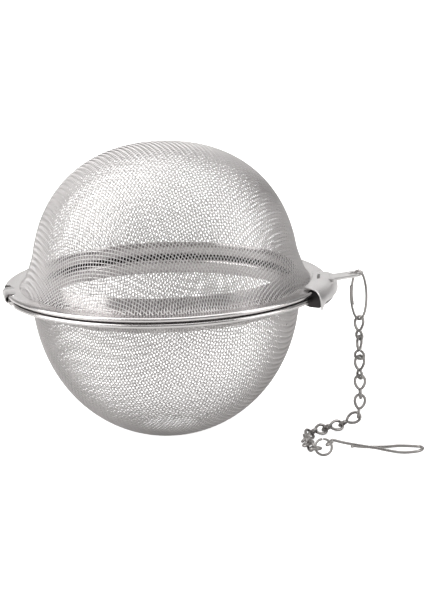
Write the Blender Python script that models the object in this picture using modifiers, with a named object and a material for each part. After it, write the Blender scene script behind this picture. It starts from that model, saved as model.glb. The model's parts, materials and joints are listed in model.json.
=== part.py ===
# Mesh ball tea infuser: two woven wire bowls in stamped rims, hinged at -X and
# latched at +X, with an eye tab, a jump ring, a jack chain, an end ring and a wire hook.
# Metres, +Z up. The origin is on the ball's axis, on the surface that it stands on.
import math

import bmesh
import bpy
from mathutils import Matrix, Quaternion, Vector

MM = 0.001

# Ball and rims
MATE_Z = 35.8 * MM              # height of the plane where the two rims meet
BOWL_R = 32.5 * MM              # outer radius of the woven bowls
BOWL_WALL = 0.5 * MM            # thickness of the woven cloth
TOP_RISE = 33.2 * MM            # upper bowl's height above its foot
TOP_SQUARE = 2.28               # superellipse exponent, the upper bowl is fuller than a sphere
DEEP_DROP = 35.4 * MM           # lower bowl's depth below its foot
DEEP_SQUARE = 2.05
BASE_FLAT_R = 7.0 * MM          # flat that the ball stands on
RIM_R = 39.07 * MM              # outer radius of the rims
RIM_TOP = 1.12 * MM             # top of the flange above the mating plane
MATE_GAP = 0.15 * MM            # half of the slit between the rims
SHEET = 0.4 * MM                # sheet metal of the rims
COLLAR_R = 31.2 * MM            # inner radius of the standing collars
COLLAR_H = 4.0 * MM
GROOVE_R = 35.3 * MM            # outer edge of the pressed groove beside the bowl
FOOT_Z = 1.4 * MM               # the bowls start this far from the mating plane
CLEAR = 0.3 * MM                # gap between neighbouring pieces
RIM_STEPS = 72
BOWL_STEPS = 56
BOWL_RINGS = 11

# Hinge, at the angle where the rim carries its pivot bar
HINGE_ANGLE = math.radians(188.5)
HINGE_R = 38.25 * MM            # distance of the pivot axis from the ball's axis
HINGE_Z = -0.3 * MM             # pivot axis below the mating plane
BAR_R = 0.4 * MM
TONGUE_HALF = 3.8 * MM
TONGUE_R = 1.2 * MM             # outer radius of the curl
TONGUE_SHEET = 0.35 * MM
NOTCH_HALF = 5.9 * MM           # notches beside the tongue end here
SLOT_R = 36.3 * MM              # inner edge of the slot that the curl swings through

# Latch hood on the upper rim and the lip that it closes over
HOOD_FROM = math.radians(-29.5)
HOOD_TO = math.radians(1.5)
HOOD_R = 41.3 * MM
HOOD_SHEET = 0.35 * MM
HOOD_TOP = 1.65 * MM
HOOD_DROP = -2.2 * MM
HOOD_IN_R = 36.3 * MM
LIP_R = 39.75 * MM
LIP_DROP = -2.3 * MM
LATCH_ANGLE = math.radians(-7.0)
SLIT_R = 37.1 * MM
SLIT_LEN = 4.6 * MM
SLIT_W = 0.7 * MM
TAB_FROM = 40.3 * MM
TAB_EYE = 45.25 * MM            # centre of the eye in the tab
TAB_HALF = 2.6 * MM
TAB_SLOPE = 0.16                # the tab rises towards its end
EYE_R = 1.35 * MM

# Chain
WIRE_R = 0.25 * MM
LINK_PITCH = 4.9 * MM
LINK_GAP = 0.15 * MM            # air between two links that hang in each other
LOOP_HALF = 1.3 * MM            # half width of a link's loop, on the wire's centre line
RING_HALF_W = 2.4 * MM
RING_HALF_H = 6.0 * MM
RING_WIRE_R = 0.26 * MM
END_RING_R = 1.95 * MM
HOOK_WIRE_R = 0.33 * MM
HOOK_EYE_R = 0.95 * MM
END_TURN = math.radians(-8)
EYE_LIFT = math.radians(35)      # how far round the end ring the hook's eye sits
N_LINKS = 11
ROLLS = (-30, -30, 38, 22, 10, 12, 4, 0, 0, -24, -24)   # each link's turn from the one above

STEEL = (0.62, 0.60, 0.59, 1.0)
CLOTH = (0.58, 0.56, 0.55, 1.0)
WIRE = (0.50, 0.48, 0.47, 1.0)

for old in list(bpy.data.objects):
    bpy.data.objects.remove(old, do_unlink=True)

parts = bpy.data.collections.new("tea_infuser")
cutters = bpy.data.collections.new("cutters")
bpy.context.scene.collection.children.link(parts)
bpy.context.scene.collection.children.link(cutters)


def material(name, colour, rough):
    mat = bpy.data.materials.new(name)
    mat.use_nodes = True
    shader = mat.node_tree.nodes["Principled BSDF"]
    shader.inputs["Base Color"].default_value = colour
    shader.inputs["Metallic"].default_value = 1.0
    shader.inputs["Roughness"].default_value = rough
    return mat


steel = material("stamped_steel", STEEL, 0.3)
cloth = material("woven_steel", CLOTH, 0.45)
wire = material("steel_wire", WIRE, 0.35)


def add(name, mesh, mat, smooth=True):
    """A new part from a mesh, shaded smooth except at its sharp edges."""
    obj = bpy.data.objects.new(name, mesh)
    parts.objects.link(obj)
    mesh.materials.clear()
    mesh.materials.append(mat)
    if smooth:
        mesh.shade_smooth()
        mesh.set_sharp_from_angle(angle=math.radians(35))
    return obj


def evaluated_mesh(obj, merge=0.00001):
    """The object's shape with its modifiers applied and loose caps welded, in world space."""
    bpy.context.view_layer.update()
    graph = bpy.context.evaluated_depsgraph_get()
    mesh = bpy.data.meshes.new_from_object(obj.evaluated_get(graph))
    mesh.transform(obj.matrix_world)
    bm = bmesh.new()
    bm.from_mesh(mesh)
    bmesh.ops.remove_doubles(bm, verts=bm.verts, dist=merge)
    bmesh.ops.recalc_face_normals(bm, faces=bm.faces)
    bm.to_mesh(mesh)
    bm.free()
    return mesh


def remove(obj):
    bpy.data.objects.remove(obj, do_unlink=True)


def turned(name, outline, mat, steps):
    """A closed outline of (radius, height) points turned once about Z."""
    mesh = bpy.data.meshes.new(name)
    count = len(outline)
    loops = [(i, (i + 1) % count) for i in range(count)]
    on_axis = outline[0][0] == 0.0
    if on_axis:
        loops = loops[:-1]
    mesh.from_pydata([(r, 0.0, z) for r, z in outline], loops, [])
    raw = bpy.data.objects.new(name + "_outline", mesh)
    parts.objects.link(raw)
    screw = raw.modifiers.new("turn", "SCREW")
    screw.steps = steps
    screw.render_steps = steps
    screw.use_merge_vertices = True
    screw.merge_threshold = 0.00001
    solid = evaluated_mesh(raw)
    remove(raw)
    return add(name, solid, mat)


def sector(name, outline, start, stop, steps, mat):
    """A closed outline of (radius, height) points swept from one angle to another."""
    bm = bmesh.new()
    verts = [bm.verts.new((r * math.cos(start), r * math.sin(start), z)) for r, z in outline]
    face = bm.faces.new(verts)
    geom = [face] + list(face.edges) + list(face.verts)
    bmesh.ops.spin(bm, geom=geom, cent=(0, 0, 0), axis=(0, 0, 1), angle=stop - start,
                   steps=steps, use_duplicate=False)
    bmesh.ops.recalc_face_normals(bm, faces=bm.faces)
    mesh = bpy.data.meshes.new(name)
    bm.to_mesh(mesh)
    bm.free()
    return add(name, mesh, mat)


def prism(name, outline, half, frame, mat):
    """An outline of (u, z) points pulled half each way along the frame's second axis."""
    bm = bmesh.new()
    low = [bm.verts.new((u, -half, z)) for u, z in outline]
    face = bm.faces.new(low)
    pulled = bmesh.ops.extrude_face_region(bm, geom=[face])
    moved = [v for v in pulled["geom"] if isinstance(v, bmesh.types.BMVert)]
    bmesh.ops.translate(bm, verts=moved, vec=(0, 2 * half, 0))
    bmesh.ops.recalc_face_normals(bm, faces=bm.faces)
    mesh = bpy.data.meshes.new(name)
    bm.to_mesh(mesh)
    bm.free()
    mesh.transform(frame)
    return add(name, mesh, mat)


def box(name, low, high, frame):
    """A cutter block between two corners in a local frame."""
    bm = bmesh.new()
    bmesh.ops.create_cube(bm, size=1.0)
    size = [h - l for l, h in zip(low, high)]
    middle = [(h + l) / 2 for l, h in zip(low, high)]
    bmesh.ops.scale(bm, verts=bm.verts, vec=size)
    bmesh.ops.translate(bm, verts=bm.verts, vec=middle)
    mesh = bpy.data.meshes.new(name)
    bm.to_mesh(mesh)
    bm.free()
    mesh.transform(frame)
    return as_cutter(bpy.data.objects.new(name, mesh))


def cylinder(name, radius, low, high, frame, sides=24):
    """A round cutter or bar along the frame's Z axis."""
    bm = bmesh.new()
    bmesh.ops.create_cone(bm, cap_ends=True, segments=sides, radius1=radius, radius2=radius,
                          depth=high - low)
    bmesh.ops.translate(bm, verts=bm.verts, vec=(0, 0, (high + low) / 2))
    mesh = bpy.data.meshes.new(name)
    bm.to_mesh(mesh)
    bm.free()
    mesh.transform(frame)
    return as_cutter(bpy.data.objects.new(name, mesh))


def as_cutter(obj):
    for coll in list(obj.users_collection):
        coll.objects.unlink(obj)
    cutters.objects.link(obj)
    obj.hide_render = True
    obj.display_type = "WIRE"
    return obj


def combine(obj, tool, operation):
    """Cuts or joins the tool with the object, and keeps only the result."""
    step = obj.modifiers.new(operation.lower(), "BOOLEAN")
    step.operation = operation
    step.object = tool
    result = evaluated_mesh(obj)
    obj.modifiers.clear()
    obj.data = result
    obj.data.shade_smooth()
    obj.data.set_sharp_from_angle(angle=math.radians(35))
    remove(tool)


def wire_path(name, points, radius, closed, mat, detail=1):
    """A wire along a run of points, as a round bevelled poly spline."""
    curve = bpy.data.curves.new(name, "CURVE")
    curve.dimensions = "3D"
    curve.bevel_depth = radius
    curve.bevel_resolution = detail
    curve.use_fill_caps = not closed
    spline = curve.splines.new("POLY")
    spline.points.add(len(points) - 1)
    for place, p in zip(spline.points, points):
        place.co = (p[0], p[1], p[2], 1.0)
    spline.use_cyclic_u = closed
    raw = bpy.data.objects.new(name + "_path", curve)
    parts.objects.link(raw)
    mesh = evaluated_mesh(raw)
    remove(raw)
    return add(name, mesh, mat)


def smooth_run(knots, count):
    """Points spaced evenly along a Catmull-Rom curve through the knots."""
    fine = []
    for i in range(len(knots) - 1):
        a = knots[max(i - 1, 0)]
        b = knots[i]
        c = knots[i + 1]
        d = knots[min(i + 2, len(knots) - 1)]
        for k in range(24):
            t = k / 24
            fine.append(0.5 * ((2 * b) + (c - a) * t + (2 * a - 5 * b + 4 * c - d) * t * t
                               + (3 * b - a - 3 * c + d) * t * t * t))
    fine.append(knots[-1])
    lengths = [0.0]
    for i in range(1, len(fine)):
        lengths.append(lengths[-1] + (fine[i] - fine[i - 1]).length)
    out = []
    j = 0
    for k in range(count):
        want = lengths[-1] * k / (count - 1)
        while j < len(fine) - 2 and lengths[j + 1] < want:
            j += 1
        span = max(lengths[j + 1] - lengths[j], 1e-12)
        out.append(fine[j].lerp(fine[j + 1], (want - lengths[j]) / span))
    return out


# ------------------------------------------------------------------ rims

def rim_outline(side):
    """Cross-section of a rim. side is 1 for the upper rim and -1 for the lower one."""
    arc = []
    for k in range(6):
        a = math.radians(72 - k * 27)
        arc.append((RIM_R - 0.5 * MM + 0.5 * MM * math.cos(a), 0.62 * MM + 0.5 * MM * math.sin(a)))
    bend = []
    for k in range(5):
        a = math.radians(k * 22.5)
        bend.append((COLLAR_R + 1.1 * MM * (1 - math.sin(a)), MATE_GAP + 1.1 * MM * (1 - math.cos(a))))
    points = [
        (COLLAR_R + SHEET, COLLAR_H),
        (COLLAR_R + SHEET, 1.25 * MM),
        (COLLAR_R + 0.75 * MM, 0.95 * MM),
        (33.4 * MM, 0.95 * MM),
        (34.6 * MM, 0.98 * MM),
        (GROOVE_R, 1.04 * MM),
        (GROOVE_R + 0.15 * MM, RIM_TOP),
    ]
    points += arc
    points += bend
    points += [(COLLAR_R, COLLAR_H)]
    placed = [(r, MATE_Z + side * z) for r, z in points]
    if side < 0:
        placed.reverse()
    return placed


upper_rim = turned("upper_rim", rim_outline(1), steel, RIM_STEPS)
lower_rim = turned("lower_rim", rim_outline(-1), steel, RIM_STEPS)

# The hinge frame: X outwards through the pivot, Y along the pivot axis, Z up from the mating plane.
hinge_frame = Matrix.Translation((0, 0, MATE_Z)) @ Matrix.Rotation(HINGE_ANGLE, 4, "Z")
FAR = 42 * MM

# The lower rim is slotted for the curl, trimmed beside it, and spanned by a round pivot bar.
combine(lower_rim, box("slot", (SLOT_R, -4.3 * MM, -3 * MM), (FAR, 4.3 * MM, 3 * MM), hinge_frame),
        "DIFFERENCE")
for hand in (-1, 1):
    ends = sorted((hand * 6.2 * MM, hand * 11.0 * MM))
    trim = box("trim", (HINGE_R - 0.6 * MM, ends[0], -3 * MM), (FAR, ends[1], 3 * MM), hinge_frame)
    combine(lower_rim, trim, "DIFFERENCE")
bar_place = hinge_frame @ Matrix.Translation((HINGE_R, 0, HINGE_Z))
bar_frame = bar_place @ Matrix.Rotation(math.radians(90), 4, "X")
combine(lower_rim, cylinder("bar", BAR_R, -5.0 * MM, 5.0 * MM, bar_frame, 16), "UNION")

# The upper rim is notched over the ends of the bar, and its tongue curls round the bar.
for hand in (-1, 1):
    ends = sorted((hand * TONGUE_HALF, hand * NOTCH_HALF))
    notch = box("notch", (HINGE_R - 1.0 * MM, ends[0], -1 * MM), (FAR, ends[1], 3 * MM), hinge_frame)
    combine(upper_rim, notch, "DIFFERENCE")
combine(upper_rim, box("under_tongue", (HINGE_R - 1.3 * MM, -TONGUE_HALF - CLEAR, -1 * MM),
                       (FAR, TONGUE_HALF + CLEAR, RIM_TOP + MM), hinge_frame), "DIFFERENCE")


def tongue_outline():
    """The tongue leaves the flange's top sheet and curls down and under the bar."""
    centre_z = RIM_TOP - TONGUE_R
    outer = [(HINGE_R - 2.0 * MM, RIM_TOP)]
    inner = [(HINGE_R - 2.0 * MM, RIM_TOP - TONGUE_SHEET)]
    for k in range(12):
        a = math.radians(90 - k * 22)
        outer.append((HINGE_R + TONGUE_R * math.cos(a), centre_z + TONGUE_R * math.sin(a)))
        slim = TONGUE_R - TONGUE_SHEET
        inner.append((HINGE_R + slim * math.cos(a), centre_z + slim * math.sin(a)))
    inner.reverse()
    return outer + inner


tongue = prism("tongue", tongue_outline(), TONGUE_HALF, hinge_frame, steel)
combine(upper_rim, as_cutter(tongue), "UNION")

# A lip stands down from the lower rim inside the latch hood.
lip_outline = [
    (RIM_R - 0.6 * MM, MATE_Z - 0.35 * MM),
    (LIP_R - 0.1 * MM, MATE_Z - 0.35 * MM),
    (LIP_R, MATE_Z - 0.5 * MM),
    (LIP_R, MATE_Z + LIP_DROP),
    (LIP_R - SHEET, MATE_Z + LIP_DROP),
    (LIP_R - SHEET, MATE_Z - 0.9 * MM),
    (RIM_R - 0.6 * MM, MATE_Z - 0.9 * MM),
]
lip = sector("lip", lip_outline, HOOD_FROM + 0.01, HOOD_TO - 0.06, 8, steel)
combine(lower_rim, as_cutter(lip), "UNION")

# ------------------------------------------------------------------ woven bowls


def bowl_outline(side, rise, square, flat):
    """Wall of a bowl from its pole down to its foot and back. flat cuts the pole off level."""
    outer = []
    inner = []
    for k in range(BOWL_RINGS + 1):
        a = math.radians(90.0 * (1 - k / BOWL_RINGS))
        for wall, line in ((0.0, outer), (BOWL_WALL, inner)):
            r = (BOWL_R - wall) * math.cos(a) ** (2 / square) if k else 0.0
            z = (rise - wall) * math.sin(a) ** (2 / square) if k < BOWL_RINGS else 0.0
            if flat is not None:
                z = min(z, flat - wall)
            line.append((r, MATE_Z + side * (FOOT_Z + z)))
    if flat is not None:
        ring = BASE_FLAT_R
        outer.insert(1, (ring, outer[0][1]))
        inner.insert(1, (ring, inner[0][1]))
        outer = [p for i, p in enumerate(outer) if i < 2 or abs(p[1] - outer[0][1]) > 1e-6]
        inner = [p for i, p in enumerate(inner) if i < 2 or abs(p[1] - inner[0][1]) > 1e-6]
    outline = outer + inner[::-1]
    if side < 0:
        outline.reverse()
    return outline


turned("upper_mesh_bowl", bowl_outline(1, TOP_RISE, TOP_SQUARE, None), cloth, BOWL_STEPS)
flat_depth = MATE_Z - FOOT_Z
turned("lower_mesh_bowl", bowl_outline(-1, DEEP_DROP, DEEP_SQUARE, flat_depth), cloth, BOWL_STEPS)

# ------------------------------------------------------------------ latch hood with its eye tab

hood_outline = [
    (HOOD_IN_R, HOOD_TOP),
    (HOOD_R - 1.6 * MM, HOOD_TOP),
    (HOOD_R - 0.7 * MM, HOOD_TOP - 0.25 * MM),
    (HOOD_R - 0.15 * MM, HOOD_TOP - 0.85 * MM),
    (HOOD_R, HOOD_TOP - 1.6 * MM),
    (HOOD_R - 0.1 * MM, HOOD_DROP),
    (HOOD_R - 0.1 * MM - HOOD_SHEET, HOOD_DROP),
    (HOOD_R - HOOD_SHEET, HOOD_TOP - 1.6 * MM),
    (HOOD_R - 0.5 * MM, HOOD_TOP - 1.0 * MM),
    (HOOD_R - 0.9 * MM, HOOD_TOP - 0.55 * MM),
    (HOOD_R - 1.7 * MM, HOOD_TOP - HOOD_SHEET),
    (HOOD_IN_R, HOOD_TOP - HOOD_SHEET),
]
hood = sector("latch_hood", [(r, MATE_Z + z) for r, z in hood_outline], HOOD_FROM, HOOD_TO, 16, steel)

latch_frame = Matrix.Translation((0, 0, MATE_Z)) @ Matrix.Rotation(LATCH_ANGLE, 4, "Z")


def tab_outline():
    """The tab seen from above: straight sides and a round end."""
    points = [(TAB_FROM, TAB_HALF), (TAB_FROM, -TAB_HALF)]
    for k in range(13):
        a = math.radians(-90 + k * 15)
        points.append((TAB_EYE + TAB_HALF * math.cos(a), TAB_HALF * math.sin(a)))
    return points


bm = bmesh.new()
flat_face = bm.faces.new([bm.verts.new((x, y, HOOD_TOP - HOOD_SHEET)) for x, y in tab_outline()])
pulled = bmesh.ops.extrude_face_region(bm, geom=[flat_face])
bmesh.ops.translate(bm, verts=[v for v in pulled["geom"] if isinstance(v, bmesh.types.BMVert)],
                    vec=(0, 0, HOOD_SHEET))
bmesh.ops.recalc_face_normals(bm, faces=bm.faces)
tab_mesh = bpy.data.meshes.new("tab")
bm.to_mesh(tab_mesh)
bm.free()
for vert in tab_mesh.vertices:
    vert.co.z += TAB_SLOPE * (vert.co.x - TAB_FROM)
tab_mesh.transform(latch_frame)
tab = as_cutter(bpy.data.objects.new("tab", tab_mesh))
combine(hood, tab, "UNION")
eye_frame = latch_frame @ Matrix.Translation((TAB_EYE, 0, 0))
combine(hood, cylinder("eye", EYE_R, 0, 3 * MM, eye_frame, 24), "DIFFERENCE")
combine(hood, box("slit", (SLIT_R - SLIT_W / 2, -SLIT_LEN / 2, 0.5 * MM),
                  (SLIT_R + SLIT_W / 2, SLIT_LEN / 2, 3 * MM), latch_frame), "DIFFERENCE")

# ------------------------------------------------------------------ jump ring

# The ring passes through the eye and round the tab's near edge, and hangs from it.
eye_at = latch_frame @ Vector((TAB_EYE, 0, HOOD_TOP + TAB_SLOPE * (TAB_EYE - TAB_FROM)))
RING_TURN = math.radians(-48)
ring_side = Vector((math.cos(RING_TURN), math.sin(RING_TURN), 0))
ring_mid = eye_at + ring_side * (RING_HALF_W - 0.35 * MM)
ring_mid.z += RING_WIRE_R + 0.75 * MM - RING_HALF_H


def oval(middle, side, half_w, half_h, count):
    up = Vector((0, 0, 1))
    points = []
    for k in range(count):
        a = 2 * math.pi * k / count
        points.append(middle + side * (half_w * math.cos(a)) + up * (half_h * math.sin(a)))
    return points


ring_line = oval(ring_mid, ring_side, RING_HALF_W, RING_HALF_H, 32)
wire_path("jump_ring", ring_line, RING_WIRE_R, True, wire, 2)

# ------------------------------------------------------------------ chain

REACH = LINK_PITCH / 2 + WIRE_R + LINK_GAP / 2   # half length of a link on its centre line


def link_points():
    """Centre line of one jack link along Z: an upper loop across X and a lower loop across Y."""
    half = []
    for k in range(1, 13):
        a = 2 * math.pi * k / 13.0
        wide = LOOP_HALF * math.sin(a) * (0.62 + 0.38 * abs(math.sin(a / 2)))
        half.append((wide, REACH * (1 - math.cos(a)) / 2))
    upper = [Vector((w if abs(w) > 0.36 * MM else math.copysign(0.36 * MM, w), 0, z)) for w, z in half]
    lower = [Vector((0, w if abs(w) > 0.36 * MM else math.copysign(0.36 * MM, w), -z)) for w, z in half]
    return upper + lower


def chain_route():
    """Places where one link hangs in the next: straight down, then along the surface."""
    start = ring_mid - Vector((0, 0, RING_HALF_H - RING_WIRE_R - LINK_GAP / 2))
    knots = [
        start,
        Vector((start.x, start.y, 14 * MM)),
        Vector((start.x, start.y, 5.2 * MM)),
        Vector((start.x - 1.2 * MM, start.y, 2.1 * MM)),
        Vector((42.2, -7.9, 1.4)) * MM,
        Vector((38.4, -10.2, 1.35)) * MM,
        Vector((34.9, -12.7, 1.35)) * MM,
        Vector((32.6, -15.9, 1.35)) * MM,
        Vector((31.95, -19.9, 1.35)) * MM,
        Vector((32.5, -24.4, 1.5)) * MM,
        Vector((34.1, -28.9, 1.8)) * MM,
        Vector((36.6, -33.0, 1.8)) * MM,
    ]
    fine = smooth_run(knots, 2000)
    places = [fine[0]]
    for p in fine:
        if (p - places[-1]).length >= LINK_PITCH:
            places.append(p)
    return places[:N_LINKS + 1]


places = chain_route()
pattern = link_points()
across = Vector((1, 0, 0))
heading = Vector((0, 0, -1))
for i in range(N_LINKS):
    top = places[i]
    low = places[i + 1]
    down = (low - top).normalized()
    across = heading.rotation_difference(down) @ across
    across = Quaternion(down, math.radians(ROLLS[i])) @ across
    across = (across - down * across.dot(down)).normalized()
    heading = down
    turn = Matrix((across, (-down).cross(across), -down)).transposed().to_4x4()
    frame = Matrix.Translation((top + low) / 2) @ turn
    wire_path("chain_link_%02d" % (i + 1), [frame @ p for p in pattern], WIRE_R, False, wire, 1)

# ------------------------------------------------------------------ end ring and hook

last = places[-1]
end_side = Vector((math.cos(END_TURN), math.sin(END_TURN), 0))
end_mid = last + end_side * (END_RING_R - WIRE_R - LINK_GAP / 2)
end_mid.z = END_RING_R + WIRE_R + 0.02 * MM
wire_path("end_ring", oval(end_mid, end_side, END_RING_R, END_RING_R, 24), WIRE_R, True, wire, 1)

# The hook's eye goes round the ring's wire on its right, then the shank runs down to the surface.
out_way = end_side * math.cos(EYE_LIFT) + Vector((0, 0, math.sin(EYE_LIFT)))
far_way = Vector((-end_side.y, end_side.x, 0))
eye_mid = end_mid + out_way * END_RING_R
eye_loop = []
for k in range(13):
    a = math.radians(-40 - k * 23.5)
    eye_loop.append(eye_mid + (out_way * math.cos(a) + far_way * math.sin(a)) * HOOK_EYE_R)
shank = [
    (40.68, -29.0, 3.12), (44.18, -29.0, 2.37), (47.69, -29.0, 1.66), (50.03, -29.0, 1.04),
    (52.37, -29.0, 0.56), (54.71, -29.1, 0.36), (57.1, -28.7, 0.35), (58.5, -27.7, 0.36),
    (59.05, -26.3, 0.38), (58.4, -25.0, 0.38), (56.6, -24.4, 0.36), (53.7, -23.9, 0.4),
    (50.6, -24.5, 0.45), (47.1, -24.6, 0.55), (44.75, -24.6, 0.7), (43.2, -24.4, 0.85),
    (42.4, -24.7, 0.8),
]
run = smooth_run([eye_loop[-1]] + [Vector(p) * MM for p in shank], 60)
wire_path("hook", eye_loop[:-1] + run, HOOK_WIRE_R, False, wire, 1)
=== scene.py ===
# %% [markdown]
# # A mesh ball tea infuser
# Two domes of woven steel cloth are clamped in stamped rims. A tongue of the upper rim curls
# round a bar on the lower rim and makes the hinge, and a bent hood closes over a catch opposite
# it. The hood's tab carries a ring, a chain of jack links, a second ring and a wire hook. The
# frame below is the working model, in metres, and every piece made here moves with one of its
# bodies.

import json
import math

import bmesh
import bpy
import numpy as np
from mathutils import Matrix, Quaternion, Vector


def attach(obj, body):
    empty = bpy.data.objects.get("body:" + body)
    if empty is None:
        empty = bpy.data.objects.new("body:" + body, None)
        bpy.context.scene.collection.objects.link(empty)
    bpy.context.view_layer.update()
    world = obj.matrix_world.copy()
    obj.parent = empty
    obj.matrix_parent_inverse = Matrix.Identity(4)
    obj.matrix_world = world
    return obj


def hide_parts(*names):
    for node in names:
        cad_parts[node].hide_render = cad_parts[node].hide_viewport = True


MM = 0.001
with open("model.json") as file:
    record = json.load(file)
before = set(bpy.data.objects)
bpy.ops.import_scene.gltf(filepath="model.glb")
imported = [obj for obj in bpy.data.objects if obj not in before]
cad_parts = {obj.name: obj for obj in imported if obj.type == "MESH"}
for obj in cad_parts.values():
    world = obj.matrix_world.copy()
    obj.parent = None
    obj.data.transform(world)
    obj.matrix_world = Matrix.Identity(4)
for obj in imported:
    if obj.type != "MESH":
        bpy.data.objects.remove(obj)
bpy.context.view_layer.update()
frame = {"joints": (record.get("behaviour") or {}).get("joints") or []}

# %% [markdown]
# ## Sizes
# The rims meet in one plane, and every height on them is easiest to read from there. Radii are
# measured from the ball's own upright axis. These are the sizes that a maker would write on
# the drawing.

# %% Sizes of the ball
MATE_Z = 35.8 * MM          # the plane where the two rims meet
BOWL_R = 32.3 * MM          # middle of the cloth at its foot
FOOT_Z = 0.8 * MM           # the cloth goes into the rim this far from the mating plane
FLARE_Z = 8.0 * MM          # below this the cloth turns out towards the rim's crease
FLARE_R = 35.7 * MM
TOP_RISE = 33.7 * MM
TOP_SQUARE = 2.28           # above 2 the dome is fuller than a sphere
DEEP_DROP = 35.9 * MM
DEEP_SQUARE = 2.05
PITCH = 0.857 * MM          # from one wire of the cloth to the next
CLOTH_WIRE = 0.115 * MM     # radius of the cloth's wires
CLOTH_WAVE = 0.11 * MM      # how far a wire moves in and out as it passes the others
BODY_LIFT = Matrix.Translation((0, 0, MATE_Z))

# %% [markdown]
# ## Camera
# A long lens a little above the rim looks down on the upper half and hides the underside. The
# camera is turned slightly about its own view, so the rim isn't level in it.

# %% Camera
cam_data = bpy.data.cameras.new("camera")
cam_data.lens = 121.58
cam_data.sensor_width = 36
cam_data.sensor_fit = "AUTO"
cam_data.clip_start = 0.01
cam_data.clip_end = 10
camera = bpy.data.objects.new("camera", cam_data)
bpy.context.scene.collection.objects.link(camera)
camera_at = Vector((0, -0.479985, 0.146153))
forward = Vector((0.02251554, 0.97241863, -0.23215308))
aim = forward.to_track_quat("-Z", "Y")
camera.rotation_mode = "QUATERNION"
camera.rotation_quaternion = Quaternion(forward, math.radians(1.652)) @ aim
camera.location = camera_at
bpy.context.scene.camera = camera
print("camera", tuple(round(v, 3) for v in camera.location))


# %% [markdown]
# ## Steel finishes
# All of it is stainless steel, but each piece was made another way: pressed sheet, drawn wire
# or woven cloth. One group holds what they share, the slow change of tone and gloss over a
# surface, the fine grain from rolling or drawing and the small scratches, and each material
# sets its own amounts.

# %% Shared group: worked steel
def group_socket(tree, name, kind, way, value=None):
    socket = tree.interface.new_socket(name=name, in_out=way, socket_type=kind)
    if value is not None:
        socket.default_value = value


def make_worked_steel():
    """Colour, roughness and height of steel that was rolled, pressed and handled."""
    tree = bpy.data.node_groups.new("worked_steel", "ShaderNodeTree")
    group_socket(tree, "Base", "NodeSocketColor", "INPUT", (0.6, 0.6, 0.6, 1))
    group_socket(tree, "Gloss", "NodeSocketFloat", "INPUT", 0.3)
    group_socket(tree, "Mottle", "NodeSocketFloat", "INPUT", 0.1)
    group_socket(tree, "Grain stretch", "NodeSocketVector", "INPUT", (1, 1, 1))
    group_socket(tree, "Color", "NodeSocketColor", "OUTPUT")
    group_socket(tree, "Roughness", "NodeSocketFloat", "OUTPUT")
    group_socket(tree, "Height", "NodeSocketFloat", "OUTPUT")
    nodes, links = tree.nodes, tree.links
    enter = nodes.new("NodeGroupInput")
    leave = nodes.new("NodeGroupOutput")
    place = nodes.new("ShaderNodeTexCoord")
    cloud = nodes.new("ShaderNodeTexNoise")
    cloud.inputs["Scale"].default_value = 90
    cloud.inputs["Detail"].default_value = 3
    links.new(place.outputs["Object"], cloud.inputs["Vector"])
    stretch = nodes.new("ShaderNodeVectorMath")
    stretch.operation = "MULTIPLY"
    links.new(place.outputs["Object"], stretch.inputs[0])
    links.new(enter.outputs["Grain stretch"], stretch.inputs[1])
    grain = nodes.new("ShaderNodeTexNoise")
    grain.inputs["Scale"].default_value = 900
    grain.inputs["Detail"].default_value = 4
    links.new(stretch.outputs[0], grain.inputs["Vector"])
    tone = nodes.new("ShaderNodeMapRange")
    tone.inputs["From Min"].default_value = 0.3
    tone.inputs["From Max"].default_value = 0.7
    tone.inputs["To Min"].default_value = -1
    links.new(cloud.outputs["Fac"], tone.inputs["Value"])
    amount = nodes.new("ShaderNodeMath")
    amount.operation = "MULTIPLY"
    links.new(tone.outputs[0], amount.inputs[0])
    links.new(enter.outputs["Mottle"], amount.inputs[1])
    light = nodes.new("ShaderNodeMath")
    light.operation = "ADD"
    light.inputs[1].default_value = 1
    links.new(amount.outputs[0], light.inputs[0])
    colour = nodes.new("ShaderNodeVectorMath")
    colour.operation = "SCALE"
    links.new(enter.outputs["Base"], colour.inputs[0])
    links.new(light.outputs[0], colour.inputs["Scale"])
    links.new(colour.outputs[0], leave.inputs["Color"])
    rough = nodes.new("ShaderNodeMath")
    rough.operation = "MULTIPLY_ADD"
    rough.inputs[1].default_value = 0.16
    links.new(grain.outputs["Fac"], rough.inputs[0])
    links.new(enter.outputs["Gloss"], rough.inputs[2])
    dull = nodes.new("ShaderNodeMath")
    dull.operation = "MULTIPLY_ADD"
    dull.inputs[1].default_value = 0.35
    links.new(amount.outputs[0], dull.inputs[0])
    links.new(rough.outputs[0], dull.inputs[2])
    links.new(dull.outputs[0], leave.inputs["Roughness"])
    links.new(grain.outputs["Fac"], leave.inputs["Height"])
    return tree


worked_steel = make_worked_steel()


def steel_finish(name, base, gloss, mottle, stretch, depth):
    """One steel material: the shared group, a bump for its grain, and its own amounts."""
    mat = bpy.data.materials.new(name)
    mat.use_nodes = True
    nodes, links = mat.node_tree.nodes, mat.node_tree.links
    shader = nodes["Principled BSDF"]
    shader.inputs["Metallic"].default_value = 1.0
    part = nodes.new("ShaderNodeGroup")
    part.node_tree = worked_steel
    part.inputs["Base"].default_value = (*base, 1)
    part.inputs["Gloss"].default_value = gloss
    part.inputs["Mottle"].default_value = mottle
    part.inputs["Grain stretch"].default_value = stretch
    links.new(part.outputs["Color"], shader.inputs["Base Color"])
    links.new(part.outputs["Roughness"], shader.inputs["Roughness"])
    bump = nodes.new("ShaderNodeBump")
    bump.inputs["Distance"].default_value = depth
    bump.inputs["Strength"].default_value = 0.5
    links.new(part.outputs["Height"], bump.inputs["Height"])
    links.new(bump.outputs["Normal"], shader.inputs["Normal"])
    mat.diffuse_color = (*base, 1)
    return mat


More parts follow.
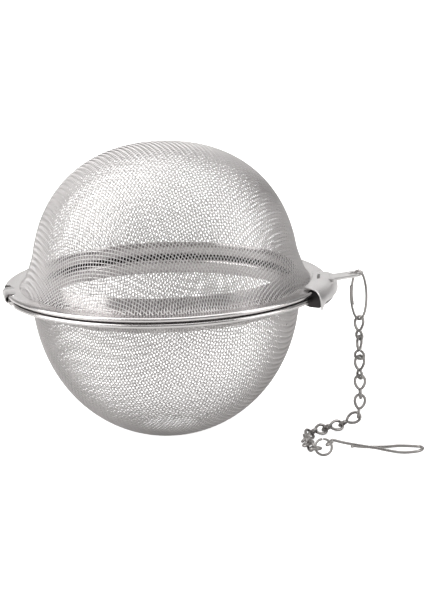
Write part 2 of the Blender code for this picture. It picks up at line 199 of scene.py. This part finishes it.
pressed = steel_finish("pressed_sheet", (0.60, 0.58, 0.575), 0.12, 0.06, (1, 1, 5), 0.00002)
bent_sheet = steel_finish("bent_sheet", (0.66, 0.645, 0.64), 0.22, 0.07, (5, 1, 1), 0.00003)
woven = steel_finish("woven_wire", (0.60, 0.58, 0.575), 0.24, 0.06, (1, 1, 1), 0.00001)
drawn = steel_finish("drawn_wire", (0.34, 0.325, 0.315), 0.22, 0.14, (3, 3, 1), 0.00002)
# The catch's near-black base colour is painted shade: it stands in for the shadow inside the hood's
# mouth.
painted_shade_steel = steel_finish("catch_painted_shade", (0.05, 0.047, 0.047), 0.3, 0.1, (5, 1, 1), 0.00002)
print("finishes", [m.name for m in (pressed, bent_sheet, woven, drawn, painted_shade_steel)])


# %% [markdown]
# ## Helpers for the bench
# Every piece starts the same way, with nothing selected, and ends the same way: its place goes
# into its mesh, it gets its finish, and it rides on a body of the working model.

# %% Start and finish a piece
def nothing_selected():
    if bpy.context.object and bpy.context.object.mode != "OBJECT":
        bpy.ops.object.mode_set(mode="OBJECT")
    bpy.ops.object.select_all(action="DESELECT")


def finish_piece(obj, name, mat, body, nodes=(), smooth=35):
    """Names a piece, applies its place, shades it and ties it to its body."""
    nothing_selected()
    obj.name = name
    obj.data.name = name
    obj.select_set(True)
    bpy.context.view_layer.objects.active = obj
    bpy.ops.object.transform_apply(location=True, rotation=True, scale=True)
    if smooth:
        bpy.ops.object.shade_smooth_by_angle(angle=math.radians(smooth))
    obj.data.materials.clear()
    obj.data.materials.append(mat)
    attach(obj, body)
    if nodes:
        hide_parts(*nodes)
    print(name, len(obj.data.polygons), "faces on", body)
    return obj


def apply_modifiers(obj):
    nothing_selected()
    obj.select_set(True)
    bpy.context.view_layer.objects.active = obj
    for mod in list(obj.modifiers):
        bpy.ops.object.modifier_apply(modifier=mod.name)


def cut_away(obj, low, high, place):
    """Cuts a box, given in the place's own axes, out of a piece."""
    nothing_selected()
    middle = (Vector(low) + Vector(high)) / 2
    bpy.ops.mesh.primitive_cube_add(size=1, location=middle)
    tool = bpy.context.object
    tool.scale = Vector(high) - Vector(low)
    bpy.ops.object.transform_apply(location=True, rotation=True, scale=True)
    tool.data.transform(place)
    mod = obj.modifiers.new("cut", "BOOLEAN")
    mod.object = tool
    mod.operation = "DIFFERENCE"
    mod.solver = "EXACT"
    apply_modifiers(obj)
    bpy.data.objects.remove(tool, do_unlink=True)


# %% [markdown]
# ## Rims
# A stamped rim is a ring with one section all the way round: an inner collar that stands up
# inside the cloth, a flat plate with a pressed crease, and an edge rolled over into a bead. It
# could be spun from its section, but drawing it out ring by ring, with extrude and scale, is
# the same work in Blender and keeps the faces square.

# %% Turn a closed section into a ring
def turned_ring(section, steps):
    """A closed section of (radius, height) drawn once round the upright axis."""
    nothing_selected()
    r, z = section[0]
    bpy.ops.mesh.primitive_circle_add(vertices=steps, radius=r, location=(0, 0, z))
    ring = bpy.context.object
    bpy.ops.object.mode_set(mode="EDIT")
    bpy.ops.mesh.select_all(action="SELECT")
    for (r0, z0), (r1, z1) in zip(section, section[1:] + section[:1]):
        bpy.ops.mesh.extrude_edges_move(TRANSFORM_OT_translate={"value": (0, 0, z1 - z0)})
        k = r1 / r0
        bpy.ops.transform.resize(value=(k, k, 1), center_override=(0, 0, 0))
    bpy.ops.mesh.select_all(action="SELECT")
    bpy.ops.mesh.remove_doubles(threshold=0.000002)
    bpy.ops.mesh.normals_make_consistent(inside=False)
    bpy.ops.object.mode_set(mode="OBJECT")
    return ring


def arc(cr, cz, radius, start, stop, steps):
    """Points of (radius, height) along an arc, from one angle in degrees to another."""
    out = []
    for k in range(steps + 1):
        a = math.radians(start + (stop - start) * k / steps)
        out.append((cr + radius * math.cos(a), cz + radius * math.sin(a)))
    return out


COLLAR_R = 31.2
RIM_SECTION = (
    arc(COLLAR_R + 0.2, 3.85, 0.2, 0, 180, 4)
    + [(COLLAR_R, 2.4)]
    + arc(COLLAR_R + 0.95, 1.5, 0.95, 180, 262, 7)
    + [(33.2, 0.42), (34.3, 0.15), (36.5, 0.15)]
    + arc(38.52, 0.7, 0.55, -90, 78, 11)
    + [(38.35, 1.12), (37.2, 1.1), (35.75, 1.12), (35.5, 1.14)]
    + [(35.38, 1.08), (35.28, 0.98), (35.15, 1.02), (34.9, 1.06)]
    + [(34.1, 1.0), (33.2, 0.86), (32.8, 0.86)]
    + arc(COLLAR_R + 0.75, 1.2, 0.35, 270, 180, 3)
)

# %% Upper and lower rim
rims = {}
for name, side in (("upper_rim", 1), ("lower_rim", -1)):
    section = [(r * MM, MATE_Z + side * z * MM) for r, z in RIM_SECTION]
    rims[name] = turned_ring(section, 192)
    print(name, len(rims[name].data.vertices), "vertices")

# %% [markdown]
# ## Hinge
# The lower rim has a slot with a round bar across it. The upper rim's tongue runs out over the
# slot and curls under the bar, and the plate is cut back on both sides of it.

# %% Slot, notches and trimmed edge
HINGE_TURN = math.radians(188.5)
HINGE_R = 38.25 * MM
HINGE_Z = -0.3 * MM
TONGUE_HALF = 3.8 * MM
hinge_place = BODY_LIFT @ Matrix.Rotation(HINGE_TURN, 4, "Z")
cut_away(rims["lower_rim"], (36.3 * MM, -4.3 * MM, -3 * MM), (42 * MM, 4.3 * MM, 3 * MM),
         hinge_place)
for hand in (-1, 1):
    ends = sorted((hand * 3.8 * MM, hand * 5.9 * MM))
    cut_away(rims["upper_rim"], (37.25 * MM, ends[0], -1 * MM), (42 * MM, ends[1], 3 * MM),
             hinge_place)
    ends = sorted((hand * 6.2 * MM, hand * 11.0 * MM))
    cut_away(rims["lower_rim"], (37.65 * MM, ends[0], -3 * MM), (42 * MM, ends[1], 3 * MM),
             hinge_place)
cut_away(rims["upper_rim"], (36.9 * MM, -4.1 * MM, -1 * MM), (42 * MM, 4.1 * MM, 3 * MM),
         hinge_place)
for middle in (-23.6, -13.75, -3.9):
    under_hood = BODY_LIFT @ Matrix.Rotation(math.radians(middle), 4, "Z")
    for rim in rims.values():
        cut_away(rim, (37.6 * MM, -3.3 * MM, -4 * MM), (42 * MM, 3.3 * MM, 4 * MM), under_hood)
finish_piece(rims["upper_rim"], "upper_rim_stamped", pressed, "lid", ("upper_rim",))
finish_piece(rims["lower_rim"], "lower_rim_stamped", pressed, "base", ("lower_rim",))

# %% Pivot bar
BAR_R = 0.4 * MM
BAR_LENGTH = 10.2 * MM
nothing_selected()
bpy.ops.mesh.primitive_cylinder_add(vertices=24, radius=BAR_R, depth=BAR_LENGTH,
                                    end_fill_type="NGON")
bar = bpy.context.object
lying = Matrix.Translation((HINGE_R, 0, HINGE_Z)) @ Matrix.Rotation(math.pi / 2, 4, "X")
bar.data.transform(hinge_place @ lying)
soft = bar.modifiers.new("soft ends", "BEVEL")
soft.width = 0.12 * MM
soft.segments = 2
apply_modifiers(bar)
finish_piece(bar, "hinge_bar", drawn, "base")

# %% Curled tongue
nothing_selected()
bpy.ops.mesh.primitive_plane_add(size=1)
tongue = bpy.context.object
bpy.ops.object.mode_set(mode="EDIT")
bpy.ops.mesh.select_all(action="DESELECT")
edit = bmesh.from_edit_mesh(tongue.data)
for vert in edit.verts:
    vert.co = (36.6 * MM if vert.co.x < 0 else 37.4 * MM, vert.co.y * 2 * TONGUE_HALF, 0.94 * MM)
edit.faces.ensure_lookup_table()
for edge in edit.edges:
    edge.select_set(all(v.co.x > 37 * MM for v in edge.verts))
bmesh.update_edit_mesh(tongue.data)
CURL_R = 1.02 * MM
curl_line = [(HINGE_R + CURL_R * math.cos(a), -0.08 * MM + CURL_R * math.sin(a))
             for a in (math.radians(90 - 14 * k) for k in range(19))]
here = (37.4 * MM, 0.94 * MM)
for x, z in curl_line:
    bpy.ops.mesh.extrude_edges_move(TRANSFORM_OT_translate={"value": (x - here[0], 0, z - here[1])})
    here = (x, z)
bpy.ops.object.mode_set(mode="OBJECT")
tongue.data.transform(hinge_place)
wall = tongue.modifiers.new("sheet", "SOLIDIFY")
wall.thickness = 0.34 * MM
wall.offset = 0
soft = tongue.modifiers.new("soft edges", "BEVEL")
soft.width = 0.07 * MM
soft.segments = 2
apply_modifiers(tongue)
finish_piece(tongue, "hinge_tongue", pressed, "lid")


# %% [markdown]
# ## Woven cloth
# The domes are plain-woven wire cloth, pressed over a form. Wires don't stretch, so on the
# dome they keep their distance along each wire, and the square cells lean over into diamonds
# between the four places where the wires run straight down from the pole. A net of equal
# steps, laid out from the pole one cell at a time, follows that rule fully. Pressed cloth also
# gives a little, so each knot is moved half of the way to an even spread from the pole. Each
# crossing lifts one wire and lowers the other, and at its foot the cloth turns out to the rim.

# %% Lay a net of equal steps over a dome
NET_SPARE = 18 * MM         # the net is laid this far past the foot and then trimmed
LEAN = 0.5                  # 1 leans the cells fully, 0 squeezes the wires together instead


def dome_line(rise, square):
    """Dense points of (arc length, radius, height) down one meridian, and on below the foot."""
    points = []
    for k in range(1201):
        a = math.pi / 2 * (1 - k / 1200)
        points.append((BOWL_R * math.cos(a) ** (2 / square) if k else 0.0,
                       rise * math.sin(a) ** (2 / square) if k < 1200 else 0.0))
    points.append((BOWL_R, -30 * MM))
    points = np.array(points)
    steps = np.hypot(*np.diff(points, axis=0).T)
    return np.concatenate([[0], np.cumsum(steps)]), points


def next_knot(a, b, guess, rise, square):
    """The place on the dome that is one pitch from a and one pitch from b."""
    x = guess.copy()
    for _ in range(8):
        rho = math.hypot(x[0], x[1])
        up = max(x[2], 0.0)
        level = (rho / BOWL_R) ** square + (up / rise) ** square - 1
        slope = square * rho ** (square - 2) / BOWL_R ** square if rho > 0 else 0.0
        grad = np.array([x[0] * slope, x[1] * slope,
                         square * up ** (square - 1) / rise ** square if up > 0 else 0.0])
        left, right = x - a, x - b
        rows = np.array([grad, 2 * left, 2 * right])
        miss = np.array([level, left @ left - PITCH ** 2, right @ right - PITCH ** 2])
        step = np.linalg.solve(rows, miss)
        x = x - step
        if abs(step).max() < 1e-9:
            break
    return x


def quarter_net(rise, square, count):
    """Knots of one quarter of the cloth: knots[i][j], or nothing past the foot."""
    length, line = dome_line(rise, square)
    reach = [(np.interp(k * PITCH, length, line[:, 0]), np.interp(k * PITCH, length, line[:, 1]))
             for k in range(count)]
    knots = [[None] * count for _ in range(count)]
    for k, (r, z) in enumerate(reach):
        if z > -NET_SPARE:
            knots[k][0] = np.array([r, 0.0, z])
            knots[0][k] = np.array([0.0, r, z])
    for i in range(1, count):
        for j in range(1, i + 1):
            a, b, c = knots[i][j - 1], knots[i - 1][j], knots[i - 1][j - 1]
            if a is None or b is None or c is None:
                continue
            x = next_knot(a, b, a + b - c, rise, square)
            if x[2] > -NET_SPARE and np.isfinite(x).all():
                knots[i][j] = x
                knots[j][i] = x[[1, 0, 2]]
    slant = np.arctan2(line[::-1, 1], line[::-1, 0])
    for i in range(count):
        for j in range(count):
            x = knots[i][j]
            if x is None or i + j == 0:
                continue
            down = np.interp(math.atan2(x[2], math.hypot(x[0], x[1])), slant, length[::-1])
            down += (1 - LEAN) * (PITCH * math.hypot(i, j) - down)
            round_by = math.atan2(x[1], x[0])
            round_by += (1 - LEAN) * (math.atan2(j, i) - round_by)
            r = np.interp(down, length, line[:, 0])
            z = np.interp(down, length, line[:, 1])
            knots[i][j] = np.array([r * math.cos(round_by), r * math.sin(round_by), z])
    return knots


# %% Flare the foot of the cloth
def flare(depth, late):
    """Radius to add at a depth of 0 to 1 below the flare's start. A high late keeps it for the end."""
    return (FLARE_R - BOWL_R) * (1 - math.sqrt(max(0.0, 1 - depth ** late)))


# %% Turn the net into wires
def wire_tubes(lines, normals, radius):
    """Square-sectioned tubes, shaded round, along runs of points with outward normals."""
    verts, faces = [], []
    for line, out in zip(lines, normals):
        ahead = np.gradient(line, axis=0)
        ahead /= np.linalg.norm(ahead, axis=1)[:, None]
        side = np.cross(ahead, out)
        side /= np.linalg.norm(side, axis=1)[:, None]
        lift = np.cross(side, ahead)
        start = len(verts)
        for p, s, n in zip(line, side, lift):
            verts += [p + radius * s, p + radius * n, p - radius * s, p - radius * n]
        for k in range(len(line) - 1):
            a = start + 4 * k
            for m in range(4):
                n = (m + 1) % 4
                faces.append((a + m, a + 4 + m, a + 4 + n, a + n))
        faces.append((start + 3, start + 2, start + 1, start))
        end = start + 4 * (len(line) - 1)
        faces.append((end, end + 1, end + 2, end + 3))
    return verts, faces


def dome_normal(x, rise, square):
    rho = math.hypot(x[0], x[1])
    up = max(x[2], 0.0)
    slope = square * rho ** (square - 2) / BOWL_R ** square if rho > 0 else 0.0
    n = np.array([x[0] * slope, x[1] * slope, square * up ** (square - 1) / rise ** square])
    size = np.linalg.norm(n)
    return n / size if size > 0 else np.array([0.0, 0.0, 1.0])


def weave(name, rise, square, side, turn, floor):
    """Both sets of wires of one dome, as two pieces."""
    count = 86
    net = quarter_net(rise, square, count)
    turned = Matrix.Rotation(turn, 3, "Z")
    sets = {"warp": ([], []), "weft": ([], [])}
    for way, (lines, outs) in sets.items():
        for i in range(-count + 1, count):
            line, out = [], []
            for j in range(-count + 1, count):
                knot = net[abs(i)][abs(j)]
                if knot is None:
                    continue
                x = np.array([math.copysign(knot[0], i) if i else 0.0,
                              math.copysign(knot[1], j) if j else 0.0, knot[2]])
                if way == "weft":
                    x = x[[1, 0, 2]]
                n = dome_normal(x, rise, square)
                over = 1 if (i + j) % 2 == 0 else -1
                if way == "weft":
                    over = -over
                x = x + n * (CLOTH_WAVE * over)
                line.append(x)
                out.append(n)
            if len(line) < 3:
                continue
            line, out = np.array(line), np.array(out)
            keep = line[:, 2] > -PITCH
            if keep.sum() < 3:
                continue
            line, out = line[keep], out[keep]
            line[:, 2] = np.maximum(line[:, 2], 0.0)
            lines.append(line)
            outs.append(out)
    for way, (lines, outs) in sets.items():
        verts, faces = wire_tubes(lines, outs, CLOTH_WIRE)
        mesh = bpy.data.meshes.new(name + "_" + way)
        placed = []
        for v in verts:
            p = turned @ Vector(v)
            depth = min(max(1 - p.z / FLARE_Z, 0.0), 1.0)
            rho = math.hypot(p.x, p.y)
            spread = 1 + flare(depth, 1.2 if side > 0 else 3.4) / rho if depth > 0 else 1.0
            p.x *= spread
            p.y *= spread
            z = min(p.z, floor)
            placed.append((p.x, p.y, MATE_Z + side * (FOOT_Z + z)))
        mesh.from_pydata(placed, [], faces if side > 0 else [f[::-1] for f in faces])
        cloth = bpy.data.objects.new(name + "_" + way, mesh)
        bpy.context.scene.collection.objects.link(cloth)
        body = "lid" if side > 0 else "base"
        node = ("upper_mesh_bowl",) if side > 0 else ("lower_mesh_bowl",)
        finish_piece(cloth, name + "_" + way, woven, body, node, smooth=0)
        cloth.data.shade_smooth()


# %% Upper and lower cloth
UPPER_TURN = math.radians(-119)     # how the cloth was lying when it was pressed
LOWER_TURN = math.radians(-62)
NO_FLOOR = 1.0
weave("upper_cloth", TOP_RISE, TOP_SQUARE, 1, UPPER_TURN, NO_FLOOR)
weave("lower_cloth", DEEP_DROP, DEEP_SQUARE, -1, LOWER_TURN, MATE_Z - FOOT_Z)

# %% [markdown]
# ## Latch hood
# The hood is one bent sheet on the upper rim: flat on top, rounded over the edge and down
# outside the lower rim. Its near edge is cut back towards the ball, and the corner of its hem
# hangs down in a point. A grid is bent into shape row by row and then given its
# thickness.

# %% Hood sheet
HOOD_FROM = -29.6
HOOD_TO = 1.5
HOOD_LINE = [(35.6, 1.55), (36.4, 1.62), (37.6, 1.66), (38.8, 1.62), (39.8, 1.46), (40.6, 1.12),
             (41.1, 0.6), (41.4, -0.05), (41.55, -0.75), (41.55, -1.4)]


def hood_point(turn, row):
    """A point of the hood. turn runs 0 to 1 from the near edge, row counts out to the hem."""
    r, z = HOOD_LINE[row]
    near = max(0.0, 1 - turn / 0.14)
    far = max(0.0, (turn - 0.82) / 0.18)
    out = row / (len(HOOD_LINE) - 1)
    angle = HOOD_FROM + (HOOD_TO - HOOD_FROM) * turn
    angle += 4.4 * near * max(0.0, 1 - out / 0.62)
    if out > 0.7:
        z -= (out - 0.7) / 0.3 * (2.0 * near ** 1.5 - 0.9 * far)
    a = math.radians(angle)
    return Vector((r * MM * math.cos(a), r * MM * math.sin(a), MATE_Z + z * MM))


nothing_selected()
COLUMNS = 30
bpy.ops.mesh.primitive_grid_add(x_subdivisions=COLUMNS, y_subdivisions=len(HOOD_LINE) - 1, size=2)
hood = bpy.context.object
for vert in hood.data.vertices:
    turn = (vert.co.x + 1) / 2
    row = round((vert.co.y + 1) / 2 * (len(HOOD_LINE) - 1))
    vert.co = hood_point(turn, row)
bpy.ops.object.mode_set(mode="EDIT")
bpy.ops.mesh.select_all(action="SELECT")
bpy.ops.mesh.normals_make_consistent(inside=False)
bpy.ops.object.mode_set(mode="OBJECT")
wall = hood.modifiers.new("sheet", "SOLIDIFY")
wall.thickness = 0.35 * MM
wall.offset = 0
soft = hood.modifiers.new("smooth", "SUBSURF")
soft.levels = 2
soft.render_levels = 2
apply_modifiers(hood)
LATCH_TURN = math.radians(-7)
latch_place = BODY_LIFT @ Matrix.Rotation(LATCH_TURN, 4, "Z")
cut_away(hood, (36.75 * MM, -2.3 * MM, 0.5 * MM), (37.45 * MM, 2.3 * MM, 3 * MM), latch_place)
finish_piece(hood, "latch_hood_sheet", bent_sheet, "lid", ("latch_hood",))

# %% [markdown]
# ## Eye tab
# The tab is a strip of the same sheet with a round end and an eye for the ring. A circle the
# size of the eye is extruded and scaled out to the tab's width, which leaves the eye open in
# a round end, and the inner half is pulled back to the hood.

# %% Eye tab
TAB_EYE = 45.25 * MM
TAB_HALF = 2.6 * MM
EYE_R = 1.0 * MM
nothing_selected()
bpy.ops.mesh.primitive_circle_add(vertices=48, radius=EYE_R, location=(0, 0, 0))
tab = bpy.context.object
bpy.ops.object.mode_set(mode="EDIT")
bpy.ops.mesh.select_all(action="SELECT")
bpy.ops.mesh.extrude_edges_move()
k = TAB_HALF / EYE_R
bpy.ops.transform.resize(value=(k, k, 1), center_override=(0, 0, 0))
bpy.ops.object.mode_set(mode="OBJECT")
for vert in tab.data.vertices:
    if vert.co.length > EYE_R * 1.2 and vert.co.x < 0:
        vert.co.x = -5.6 * MM * min(1.0, (-vert.co.x / TAB_HALF) ** 0.5)
        if abs(vert.co.y) > 0.02 * MM:
            vert.co.y = math.copysign(TAB_HALF, vert.co.y)
    if vert.co.x < -4 * MM:
        vert.co.y *= 1.1
for vert in tab.data.vertices:
    vert.co.z = 2.25 * MM + 0.16 * vert.co.x
tab.data.transform(latch_place @ Matrix.Translation((TAB_EYE, 0, 0)))
bpy.ops.object.mode_set(mode="EDIT")
bpy.ops.mesh.select_all(action="SELECT")
bpy.ops.mesh.normals_make_consistent(inside=False)
bpy.ops.object.mode_set(mode="OBJECT")
wall = tab.modifiers.new("sheet", "SOLIDIFY")
wall.thickness = 0.7 * MM
wall.offset = 0
soft = tab.modifiers.new("soft edges", "BEVEL")
soft.width = 0.08 * MM
soft.segments = 2
apply_modifiers(tab)
finish_piece(tab, "eye_tab", bent_sheet, "lid")

# %% [markdown]
# ## Catch
# Under the hood the rolled edges are cut away, and the lower rim has a catch that the hood
# snaps over. Its near-black colour is painted shade, standing in for the shadow in the hood's mouth.

# %% Catch under the hood
CATCH_LINE = [(37.15, -1.0), (37.15, -2.1), (38.2, -2.45), (40.6, -2.5), (40.95, -2.3), (41.0, -0.6),
              (40.7, 0.25), (40.1, 0.85), (39.3, 1.1), (37.9, 1.2), (37.75, 1.1), (37.65, -0.8)]
nothing_selected()
bpy.ops.mesh.primitive_grid_add(x_subdivisions=16, y_subdivisions=len(CATCH_LINE), size=2)
catch = bpy.context.object
for vert in catch.data.vertices:
    turn = (vert.co.x + 1) / 2
    row = round((vert.co.y + 1) / 2 * len(CATCH_LINE)) % len(CATCH_LINE)
    a = math.radians(-28.3 + 28.0 * turn)
    r, z = CATCH_LINE[row]
    vert.co = (r * MM * math.cos(a), r * MM * math.sin(a), MATE_Z + z * MM)
bpy.ops.object.mode_set(mode="EDIT")
bpy.ops.mesh.select_all(action="SELECT")
bpy.ops.mesh.remove_doubles(threshold=0.000002)
bpy.ops.mesh.fill_holes(sides=20)
bpy.ops.mesh.normals_make_consistent(inside=False)
bpy.ops.object.mode_set(mode="OBJECT")
# The catch gets the near-black painted shade for the dark hollow under the hood.
finish_piece(catch, "latch_catch", painted_shade_steel, "base")


# %% [markdown]
# ## Rings, chain and hook
# These are all bent from round wire. A curve with a round bevel is the quickest way to bend
# wire in Blender, and it is then turned into a mesh. The chain is one jack link, copied: its
# long upper loop and its short lower loop stand across each other, so the links hang straight.

# %% Bend a wire
def bent_wire(points, radius, closed=False, sides=4):
    nothing_selected()
    curve = bpy.data.curves.new("wire", "CURVE")
    curve.dimensions = "3D"
    curve.bevel_depth = radius
    curve.bevel_resolution = sides
    curve.use_fill_caps = not closed
    run = curve.splines.new("POLY")
    run.points.add(len(points) - 1)
    for place, p in zip(run.points, points):
        place.co = (p[0], p[1], p[2], 1)
    run.use_cyclic_u = closed
    obj = bpy.data.objects.new("wire", curve)
    bpy.context.scene.collection.objects.link(obj)
    obj.select_set(True)
    bpy.context.view_layer.objects.active = obj
    bpy.ops.object.convert(target="MESH")
    obj = bpy.context.object
    bpy.ops.object.mode_set(mode="EDIT")
    bpy.ops.mesh.select_all(action="SELECT")
    bpy.ops.mesh.remove_doubles(threshold=0.000005)
    bpy.ops.mesh.normals_make_consistent(inside=False)
    bpy.ops.object.mode_set(mode="OBJECT")
    return obj


def smooth_run(knots, count):
    """Points spaced evenly along a smooth curve through the knots."""
    fine = []
    for i in range(len(knots) - 1):
        a, b = knots[max(i - 1, 0)], knots[i]
        c, d = knots[i + 1], knots[min(i + 2, len(knots) - 1)]
        for k in range(24):
            t = k / 24
            fine.append(0.5 * (2 * b + (c - a) * t + (2 * a - 5 * b + 4 * c - d) * t * t
                               + (3 * b - a - 3 * c + d) * t ** 3))
    fine.append(knots[-1])
    fine = np.array([tuple(p) for p in fine])
    length = np.concatenate([[0], np.cumsum(np.linalg.norm(np.diff(fine, axis=0), axis=1))])
    wanted = np.linspace(0, length[-1], count)
    return [Vector([np.interp(w, length, fine[:, k]) for k in range(3)]) for w in wanted]


# %% Jump ring, with its ends lapped
RING_TURN = math.radians(-48)
RING_W = 2.4 * MM
RING_H = 6.0 * MM
ring_side = Vector((math.cos(RING_TURN), math.sin(RING_TURN), 0))
ring_out = Vector((-ring_side.y, ring_side.x, 0))
eye_at = latch_place @ Vector((TAB_EYE, 0, 2.44 * MM))
ring_mid = eye_at + ring_side * (RING_W - 0.35 * MM)
ring_mid.z += 0.26 * MM + 0.75 * MM - RING_H
lap = []
for k in range(75):
    a = math.radians(160 + 408 * k / 74)
    slip = (k / 74 - 0.5) * 0.56 * MM
    wide = RING_W + 0.12 * MM * (k / 74)
    lap.append(ring_mid + ring_side * (wide * math.cos(a)) + Vector((0, 0, RING_H * math.sin(a)))
               + ring_out * slip)
finish_piece(bent_wire(lap, 0.3 * MM), "jump_ring_lapped", drawn, "jump_ring", ("jump_ring",), 60)

# %% One jack link
LINK_PITCH = 4.9 * MM
WIRE_R = 0.25 * MM
LINK_GAP = 0.15 * MM
JACK_R = 0.35 * MM
LOOP_HALF = 1.36 * MM
REACH = LINK_PITCH / 2 + JACK_R + 0.04 * MM
NARROW = 0.3 * MM
WAIST = 0.7 * MM            # how far the crossing sits below the link's middle


def jack_link_points():
    upper, lower = [], []
    for k in range(1, 33):
        a = 2 * math.pi * k / 33
        wide = LOOP_HALF * math.sin(a) * (0.5 + 0.55 * abs(math.sin(a / 2)))
        high = (1 - math.cos(a)) / 2
        if abs(wide) < NARROW:
            wide = math.copysign(NARROW * (0.8 + 0.2 * abs(wide) / NARROW), wide)
        upper.append(Vector((wide, 0, (REACH + WAIST) * high - WAIST)))
        lower.append(Vector((0, wide, -(REACH - WAIST) * high - WAIST)))
    return upper + lower


master = bent_wire(jack_link_points(), JACK_R, sides=3)
print("one link", len(master.data.polygons), "faces")

# %% Hang the copies
ROLLS = (-30, -30, 38, 22, 10, 12, 4, 0, 0, -24, -24)
places = [Vector(j["pos_m"]) for j in frame["joints"] if j["name"].startswith("link_")]
places.append(Vector(next(j["pos_m"] for j in frame["joints"] if j["name"] == "end_ring_swing")))
across = Vector((1, 0, 0))
heading = Vector((0, 0, -1))
for i, roll in enumerate(ROLLS):
    top, low = places[i], places[i + 1]
    down = (low - top).normalized()
    across = Quaternion(down, math.radians(roll)) @ (heading.rotation_difference(down) @ across)
    across = (across - down * across.dot(down)).normalized()
    heading = down
    turn = Matrix((across, (-down).cross(across), -down)).transposed().to_4x4()
    link = master.copy()
    link.data = master.data.copy()
    bpy.context.scene.collection.objects.link(link)
    link.data.transform(Matrix.Translation((top + low) / 2) @ turn)
    number = "%02d" % (i + 1)
    finish_piece(link, "jack_link_" + number, drawn, "link_" + number, ("chain_link_" + number,), 60)
bpy.data.objects.remove(master, do_unlink=True)

# %% End ring and hook
END_R = 1.95 * MM
END_TURN = math.radians(-8)
EYE_LIFT = math.radians(35)
HOOK_EYE_R = 0.95 * MM
end_side = Vector((math.cos(END_TURN), math.sin(END_TURN), 0))
end_mid = places[-1] + end_side * (END_R - WIRE_R - LINK_GAP / 2)
end_mid.z = END_R + WIRE_R + 0.02 * MM
circle = []
for k in range(60):
    a = math.radians(97 + 354 * k / 59)
    circle.append(end_mid + end_side * (END_R * math.cos(a)) + Vector((0, 0, END_R * math.sin(a))))
finish_piece(bent_wire(circle, 0.3 * MM), "end_ring_bent", drawn, "end_ring", ("end_ring",), 60)

out_way = end_side * math.cos(EYE_LIFT) + Vector((0, 0, math.sin(EYE_LIFT)))
far_way = Vector((-end_side.y, end_side.x, 0))
eye_mid = end_mid + out_way * END_R
loop = []
for k in range(25):
    a = math.radians(-40 - k * 11.75)
    loop.append(eye_mid + (out_way * math.cos(a) + far_way * math.sin(a)) * HOOK_EYE_R)
SHANK = [
    (40.68, -29.0, 3.12), (44.18, -29.0, 2.37), (47.69, -29.0, 1.66), (50.03, -29.0, 1.04),
    (52.37, -29.0, 0.56), (54.71, -29.1, 0.36), (57.1, -28.7, 0.35), (58.5, -27.7, 0.36),
    (59.05, -26.3, 0.38), (58.4, -25.0, 0.38), (56.6, -24.4, 0.36), (53.7, -23.9, 0.4),
    (50.6, -24.5, 0.45), (47.1, -24.6, 0.55), (44.75, -24.6, 0.7), (43.2, -24.4, 0.85),
    (42.4, -24.7, 0.8),
]
shank = smooth_run([loop[-1]] + [Vector(p) * MM for p in SHANK], 150)
finish_piece(bent_wire(loop[:-1] + shank, 0.35 * MM), "cup_hook", drawn, "hook", ("hook",), 60)

# %% [markdown]
# ## Floor and light
# A pale sweep goes up behind the ball, so it has no horizon. A large soft light stands to the
# left, a weaker one above and a small one to the right, and the steel gets its darker tones
# from the dim room in front. The paper's own glow is seen only directly, so that it stays white
# behind thin wires without lighting them.

# %% Pale sweep
nothing_selected()
bpy.ops.mesh.primitive_grid_add(x_subdivisions=2, y_subdivisions=48, size=1)
sweep = bpy.context.object
sweep.name = "pale_sweep"
for vert in sweep.data.vertices:
    along = (vert.co.y + 0.5) * 2.4
    side = vert.co.x * 3.0
    if along < 1.1:
        vert.co = (side, along - 0.8, 0)
    else:
        a = min((along - 1.1) / 0.5, math.pi / 2)
        rest = max(along - 1.1 - 0.5 * math.pi / 2, 0)
        vert.co = (side, 0.3 + 0.5 * math.sin(a), 0.5 * (1 - math.cos(a)) + rest)
sweep.data.shade_smooth()
paper = bpy.data.materials.new("white_paper")
paper.use_nodes = True
tree = paper.node_tree
base = tree.nodes["Principled BSDF"]
base.inputs["Base Color"].default_value = (0.75, 0.745, 0.74, 1)
base.inputs["Roughness"].default_value = 0.9
base.inputs["Emission Color"].default_value = (1, 1, 1, 1)
seen = tree.nodes.new("ShaderNodeLightPath")
glow = tree.nodes.new("ShaderNodeMath")
glow.operation = "MULTIPLY_ADD"
glow.inputs[1].default_value = 0.75
glow.inputs[2].default_value = 0.0
tree.links.new(seen.outputs["Is Camera Ray"], glow.inputs[0])
tree.links.new(glow.outputs[0], base.inputs["Emission Strength"])
sweep.data.materials.append(paper)


# %% Soft lights
def soft_light(name, place, target, size, power):
    data = bpy.data.lights.new(name, "AREA")
    data.shape = "RECTANGLE"
    data.size, data.size_y = size
    data.energy = power
    lamp = bpy.data.objects.new(name, data)
    bpy.context.scene.collection.objects.link(lamp)
    lamp.location = place
    lamp.rotation_mode = "QUATERNION"
    lamp.rotation_quaternion = (Vector(target) - Vector(place)).to_track_quat("-Z", "Y")
    print(name, power, "watts")


soft_light("window_left", (-0.55, -0.15, 0.35), (0, 0, 0.03), (0.6, 0.8), 5.5)
soft_light("sky_above", (0.05, 0.1, 0.75), (0, 0.05, 0), (0.9, 0.9), 4.5)
soft_light("fill_right", (0.6, -0.2, 0.3), (0, 0, 0.03), (0.4, 0.5), 1.6)
world = bpy.data.worlds.new("room")
world.use_nodes = True
world.node_tree.nodes["Background"].inputs["Color"].default_value = (1, 1, 1, 1)
world.node_tree.nodes["Background"].inputs["Strength"].default_value = 0.3
bpy.context.scene.world = world

bpy.context.scene.view_settings.view_transform = "Standard"
